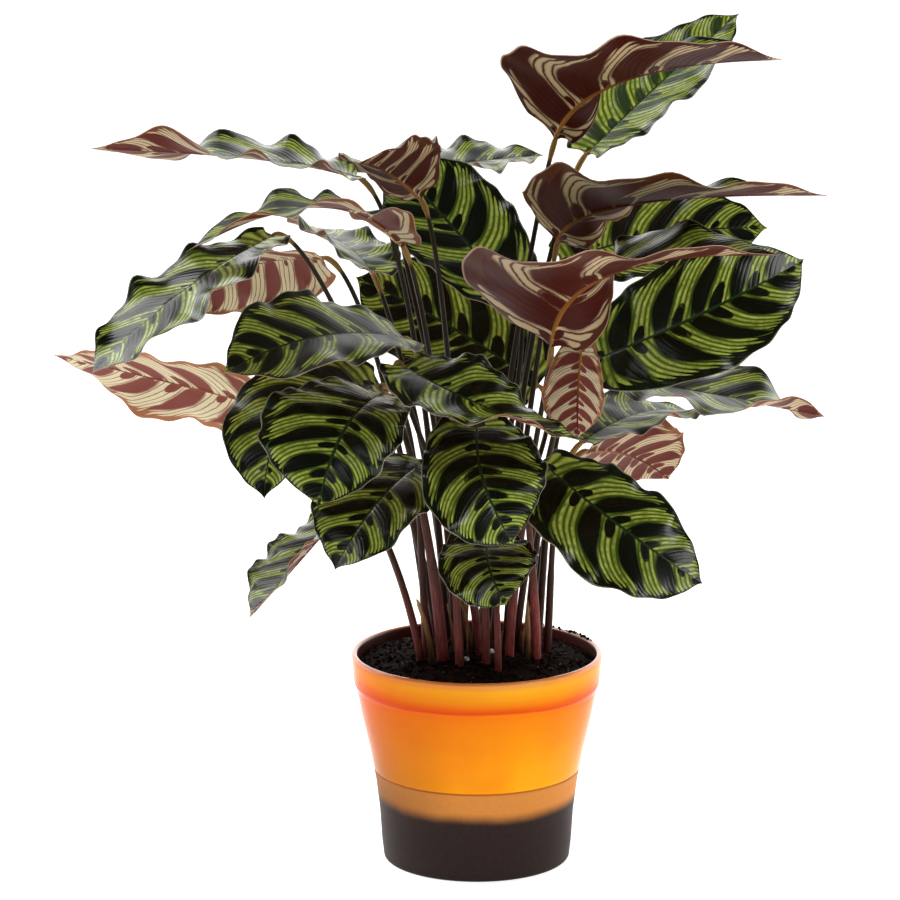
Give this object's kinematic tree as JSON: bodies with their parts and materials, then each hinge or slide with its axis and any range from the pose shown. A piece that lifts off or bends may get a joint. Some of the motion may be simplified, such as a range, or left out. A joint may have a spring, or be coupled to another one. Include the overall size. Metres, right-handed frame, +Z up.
{
  "type": "potted calathea",
  "caption": "House plant with patterned oval leaves on thin stalks, rooted in soil in a glazed round pot that tapers to a flat base.",
  "frame": {"origin": "middle of the pot's base, on the surface it stands on", "axes": "+Z up along the pot's axis; -Y towards the viewer of the picture; +X to the viewer's right"},
  "size_m": [0.5091, 0.35, 0.5735],
  "materials": {
    "pot": "glossy orange glaze above, matte tan band and dark brown base",
    "soil": "moist dark peat",
    "leaf": "satin leaf, green blotched face and maroon underside",
    "stalk": "satin brown to pink leaf stalk"
  },
  "bodies": {
    "root": {"pot": "pot", "soil": "soil", "leaf_01": "leaf", "stalk_01": "stalk", "leaf_02": "leaf", "stalk_02": "stalk", "leaf_03": "leaf", "stalk_03": "stalk", "leaf_04": "leaf", "stalk_04": "stalk", "leaf_05": "leaf", "stalk_05": "stalk", "leaf_06": "leaf", "stalk_06": "stalk", "leaf_07": "leaf", "stalk_07": "stalk", "leaf_08": "leaf", "stalk_08": "stalk", "leaf_09": "leaf", "stalk_09": "stalk", "leaf_10": "leaf", "stalk_10": "stalk", "leaf_11": "leaf", "stalk_11": "stalk", "leaf_12": "leaf", "stalk_12": "stalk", "leaf_13": "leaf", "stalk_13": "stalk", "leaf_14": "leaf", "stalk_14": "stalk", "leaf_15": "leaf", "stalk_15": "stalk", "leaf_16": "leaf", "stalk_16": "stalk", "leaf_17": "leaf", "stalk_17": "stalk", "leaf_18": "leaf", "stalk_18": "stalk", "leaf_19": "leaf", "stalk_19": "stalk", "leaf_20": "leaf", "stalk_20": "stalk", "leaf_21": "leaf", "stalk_21": "stalk", "leaf_22": "leaf", "stalk_22": "stalk", "leaf_23": "leaf", "stalk_23": "stalk", "leaf_24": "leaf", "stalk_24": "stalk", "leaf_25": "leaf", "stalk_25": "stalk", "leaf_26": "leaf", "stalk_26": "stalk", "leaf_27": "leaf", "stalk_27": "stalk", "leaf_28": "leaf", "stalk_28": "stalk", "leaf_29": "leaf", "stalk_29": "stalk"}
  },
  "joints": []
}
